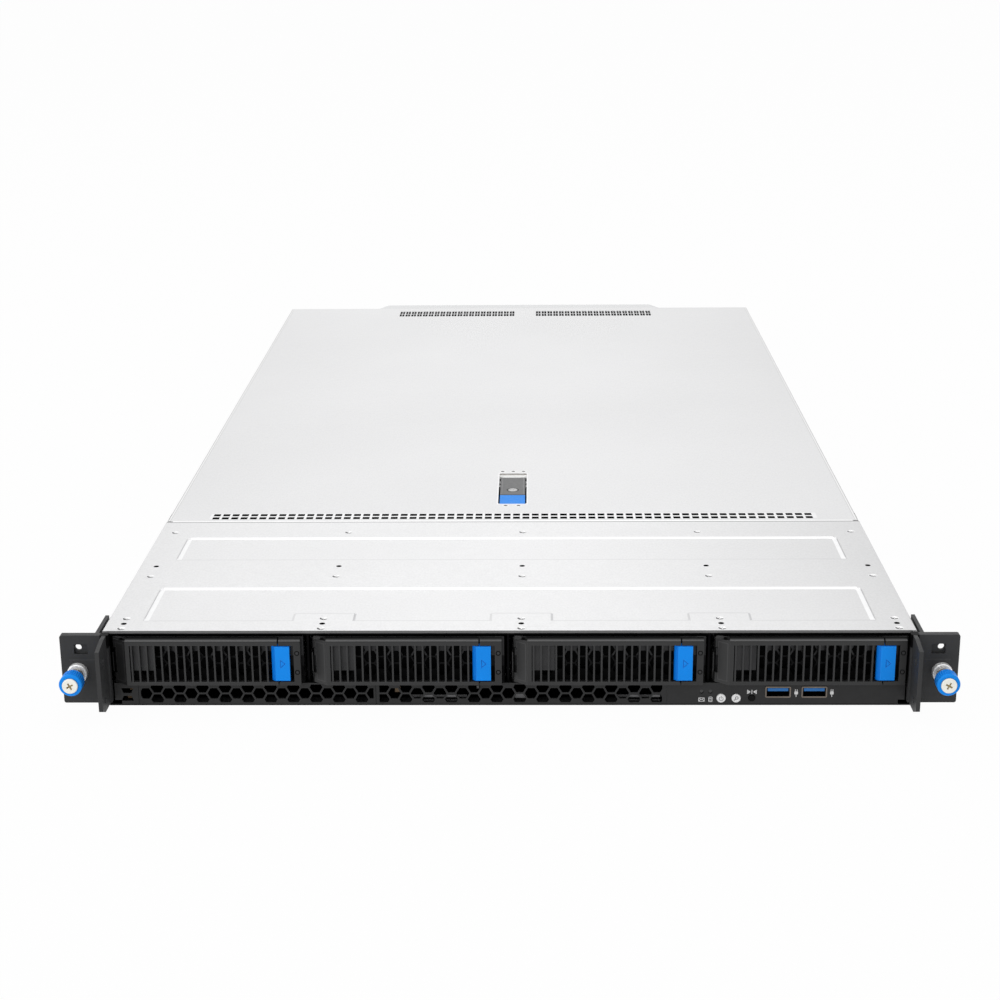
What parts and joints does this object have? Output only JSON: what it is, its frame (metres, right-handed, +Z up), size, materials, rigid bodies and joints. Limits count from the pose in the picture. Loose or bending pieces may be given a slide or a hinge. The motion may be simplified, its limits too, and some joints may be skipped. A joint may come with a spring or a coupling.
{
  "type": "1u rack server",
  "caption": "One-unit rack server with front drive carriers on slides, swing levers, captive ear thumbscrews, a latched sliding rear top cover, fans and pull-out power supplies.",
  "frame": {"origin": "middle of the flat underside of the chassis", "axes": "+X to the right seen from the front, +Y from the front to the rear, +Z up"},
  "size_m": [0.4826, 0.8899, 0.0436],
  "materials": {
    "zinc_steel": "satin zinc",
    "cage_steel": "satin",
    "screw_steel": "satin",
    "black_paint": "matte",
    "black_plastic": "matte",
    "tray_steel": "black coated",
    "drive_case": "cast",
    "blue_plastic": "satin",
    "grey_plastic": "matte",
    "lock_metal": "satin",
    "chrome": "polished",
    "ivory_head": "satin",
    "white_plastic": "satin",
    "dark_plastic": "matte",
    "port_shell": "satin",
    "circuit_board": "solder mask",
    "heatsink": "satin",
    "psu_case": "satin"
  },
  "bodies": {
    "chassis": {"chassis_base": "zinc_steel", "front_top_cover": "zinc_steel", "cover_screws": "screw_steel", "drive_cage": "cage_steel", "rail_studs": "cage_steel", "left_ear": "black_paint", "right_ear": "black_paint", "front_vent_panel": "black_paint", "control_panel": "black_paint", "thumbscrew_ferrules": "chrome", "thumbscrew_springs": "cage_steel", "usb_ports": "port_shell", "front_io_board": "circuit_board", "backplane": "circuit_board", "fan_housings": "dark_plastic", "motherboard": "circuit_board", "cpu_heatsinks": "heatsink", "memory_modules": "circuit_board", "slot_covers": "cage_steel", "rear_io_ports": "port_shell"},
    "drive_1": {"drive_tray_1": "tray_steel", "hard_drive_1": "drive_case"},
    "lever_1": {"tray_lever_1": "black_plastic"},
    "button_1": {"release_button_1": "blue_plastic"},
    "drive_2": {"drive_tray_2": "tray_steel", "hard_drive_2": "drive_case"},
    "lever_2": {"tray_lever_2": "black_plastic"},
    "button_2": {"release_button_2": "blue_plastic"},
    "drive_3": {"drive_tray_3": "tray_steel", "hard_drive_3": "drive_case"},
    "lever_3": {"tray_lever_3": "black_plastic"},
    "button_3": {"release_button_3": "blue_plastic"},
    "drive_4": {"drive_tray_4": "tray_steel", "hard_drive_4": "drive_case"},
    "lever_4": {"tray_lever_4": "black_plastic"},
    "button_4": {"release_button_4": "blue_plastic"},
    "rear_cover": {"rear_top_cover": "zinc_steel", "latch_housing": "zinc_steel"},
    "latch": {"latch_lever": "grey_plastic", "latch_grip": "blue_plastic"},
    "latch_lock": {"latch_lock": "lock_metal"},
    "left_thumb_slider": {"left_thumbscrew_clip": "screw_steel"},
    "left_thumbscrew": {"left_thumbscrew_knob": "blue_plastic", "left_thumbscrew_screw": "ivory_head"},
    "right_thumb_slider": {"right_thumbscrew_clip": "screw_steel"},
    "right_thumbscrew": {"right_thumbscrew_knob": "blue_plastic", "right_thumbscrew_screw": "ivory_head"},
    "power_button": {"power_button": "white_plastic"},
    "uid_button": {"uid_button": "white_plastic"},
    "reset_button": {"reset_button": "dark_plastic"},
    "psu_1": {"psu_module_1": "psu_case"},
    "psu_latch_1": {"psu_latch_1": "blue_plastic"},
    "psu_2": {"psu_module_2": "psu_case"},
    "psu_latch_2": {"psu_latch_2": "blue_plastic"},
    "fan_rotor_1": {"fan_rotor_1": "dark_plastic"},
    "fan_rotor_2": {"fan_rotor_2": "dark_plastic"},
    "fan_rotor_3": {"fan_rotor_3": "dark_plastic"},
    "fan_rotor_4": {"fan_rotor_4": "dark_plastic"},
    "fan_rotor_5": {"fan_rotor_5": "dark_plastic"},
    "fan_rotor_6": {"fan_rotor_6": "dark_plastic"}
  },
  "joints": [
    {"name": "drive_slide_1", "type": "slide", "parent": "chassis", "child": "drive_1", "axis": [0, -1, 0], "range_m": [0, 0.16]},
    {"name": "lever_swing_1", "type": "hinge", "parent": "drive_1", "child": "lever_1", "pos_m": [-0.21235, -0.42085, 0.0276], "axis": [0, 0, -1], "range_deg": [0, 55]},
    {"name": "button_press_1", "type": "slide", "parent": "drive_1", "child": "button_1", "axis": [1, 0, 0], "range_m": [0, 0.0016], "stiffness_N_per_m": 400, "springref_m": -0.0005},
    {"name": "drive_slide_2", "type": "slide", "parent": "chassis", "child": "drive_2", "axis": [0, -1, 0], "range_m": [0, 0.16]},
    {"name": "lever_swing_2", "type": "hinge", "parent": "drive_2", "child": "lever_2", "pos_m": [-0.10395, -0.42085, 0.0276], "axis": [0, 0, -1], "range_deg": [0, 55]},
    {"name": "button_press_2", "type": "slide", "parent": "drive_2", "child": "button_2", "axis": [1, 0, 0], "range_m": [0, 0.0016], "stiffness_N_per_m": 400, "springref_m": -0.0005},
    {"name": "drive_slide_3", "type": "slide", "parent": "chassis", "child": "drive_3", "axis": [0, -1, 0], "range_m": [0, 0.16]},
    {"name": "lever_swing_3", "type": "hinge", "parent": "drive_3", "child": "lever_3", "pos_m": [0.00445, -0.42085, 0.0276], "axis": [0, 0, -1], "range_deg": [0, 55]},
    {"name": "button_press_3", "type": "slide", "parent": "drive_3", "child": "button_3", "axis": [1, 0, 0], "range_m": [0, 0.0016], "stiffness_N_per_m": 400, "springref_m": -0.0005},
    {"name": "drive_slide_4", "type": "slide", "parent": "chassis", "child": "drive_4", "axis": [0, -1, 0], "range_m": [0, 0.16]},
    {"name": "lever_swing_4", "type": "hinge", "parent": "drive_4", "child": "lever_4", "pos_m": [0.11285, -0.42085, 0.0276], "axis": [0, 0, -1], "range_deg": [0, 55]},
    {"name": "button_press_4", "type": "slide", "parent": "drive_4", "child": "button_4", "axis": [1, 0, 0], "range_m": [0, 0.0016], "stiffness_N_per_m": 400, "springref_m": -0.0005},
    {"name": "cover_slide", "type": "slide", "parent": "chassis", "child": "rear_cover", "axis": [0, 1, 0], "range_m": [0, 0.012]},
    {"name": "latch_turn", "type": "hinge", "parent": "rear_cover", "child": "latch", "pos_m": [0, -0.13555, 0.04], "axis": [-1, 0, 0], "range_deg": [0, 80]},
    {"name": "latch_lock_turn", "type": "hinge", "parent": "latch", "child": "latch_lock", "pos_m": [0, -0.16385, 0.041], "axis": [0, 0, 1], "range_deg": [0, 90]},
    {"name": "left_thumb_press", "type": "slide", "parent": "chassis", "child": "left_thumb_slider", "axis": [0, 1, 0], "range_m": [0, 0.006], "stiffness_N_per_m": 300, "springref_m": -0.002, "deforming": ["thumbscrew_springs"]},
    {"name": "left_thumb_turn", "type": "hinge", "parent": "left_thumb_slider", "child": "left_thumbscrew", "pos_m": [-0.23255, -0.43125, 0.02205], "axis": [0, 1, 0], "continuous": true},
    {"name": "right_thumb_press", "type": "slide", "parent": "chassis", "child": "right_thumb_slider", "axis": [0, 1, 0], "range_m": [0, 0.006], "stiffness_N_per_m": 300, "springref_m": -0.002, "deforming": ["thumbscrew_springs"]},
    {"name": "right_thumb_turn", "type": "hinge", "parent": "right_thumb_slider", "child": "right_thumbscrew", "pos_m": [0.23255, -0.43125, 0.02205], "axis": [0, 1, 0], "continuous": true},
    {"name": "power_button_press", "type": "slide", "parent": "chassis", "child": "power_button", "axis": [0, 1, 0], "range_m": [0, 0.0008], "stiffness_N_per_m": 600, "springref_m": -0.0005},
    {"name": "uid_button_press", "type": "slide", "parent": "chassis", "child": "uid_button", "axis": [0, 1, 0], "range_m": [0, 0.0008], "stiffness_N_per_m": 600, "springref_m": -0.0005},
    {"name": "reset_button_press", "type": "slide", "parent": "chassis", "child": "reset_button", "axis": [0, 1, 0], "range_m": [0, 0.0005], "stiffness_N_per_m": 600, "springref_m": -0.0005},
    {"name": "psu_slide_1", "type": "slide", "parent": "chassis", "child": "psu_1", "axis": [0, 1, 0], "range_m": [0, 0.19]},
    {"name": "psu_latch_press_1", "type": "hinge", "parent": "psu_1", "child": "psu_latch_1", "pos_m": [-0.1457, 0.41065, 0.033], "axis": [0, 0, 1], "range_deg": [0, 8], "stiffness_Nm_per_rad": 0.3, "springref_deg": -2.86},
    {"name": "psu_slide_2", "type": "slide", "parent": "chassis", "child": "psu_2", "axis": [0, 1, 0], "range_m": [0, 0.19]},
    {"name": "psu_latch_press_2", "type": "hinge", "parent": "psu_2", "child": "psu_latch_2", "pos_m": [0.1457, 0.41065, 0.033], "axis": [0, 0, -1], "range_deg": [0, 8], "stiffness_Nm_per_rad": 0.3, "springref_deg": -2.86},
    {"name": "fan_spin_1", "type": "hinge", "parent": "chassis", "child": "fan_rotor_1", "pos_m": [-0.172, -0.16625, 0.0212], "axis": [0, 1, 0], "continuous": true},
    {"name": "fan_spin_2", "type": "hinge", "parent": "chassis", "child": "fan_rotor_2", "pos_m": [-0.106, -0.16625, 0.0212], "axis": [0, 1, 0], "continuous": true},
    {"name": "fan_spin_3", "type": "hinge", "parent": "chassis", "child": "fan_rotor_3", "pos_m": [-0.04, -0.16625, 0.0212], "axis": [0, 1, 0], "continuous": true},
    {"name": "fan_spin_4", "type": "hinge", "parent": "chassis", "child": "fan_rotor_4", "pos_m": [0.04, -0.16625, 0.0212], "axis": [0, 1, 0], "continuous": true},
    {"name": "fan_spin_5", "type": "hinge", "parent": "chassis", "child": "fan_rotor_5", "pos_m": [0.106, -0.16625, 0.0212], "axis": [0, 1, 0], "continuous": true},
    {"name": "fan_spin_6", "type": "hinge", "parent": "chassis", "child": "fan_rotor_6", "pos_m": [0.172, -0.16625, 0.0212], "axis": [0, 1, 0], "continuous": true}
  ],
  "couplings": [
    {"joint": "latch_turn", "follows": "cover_slide", "rad_per_m": 116.3}
  ]
}
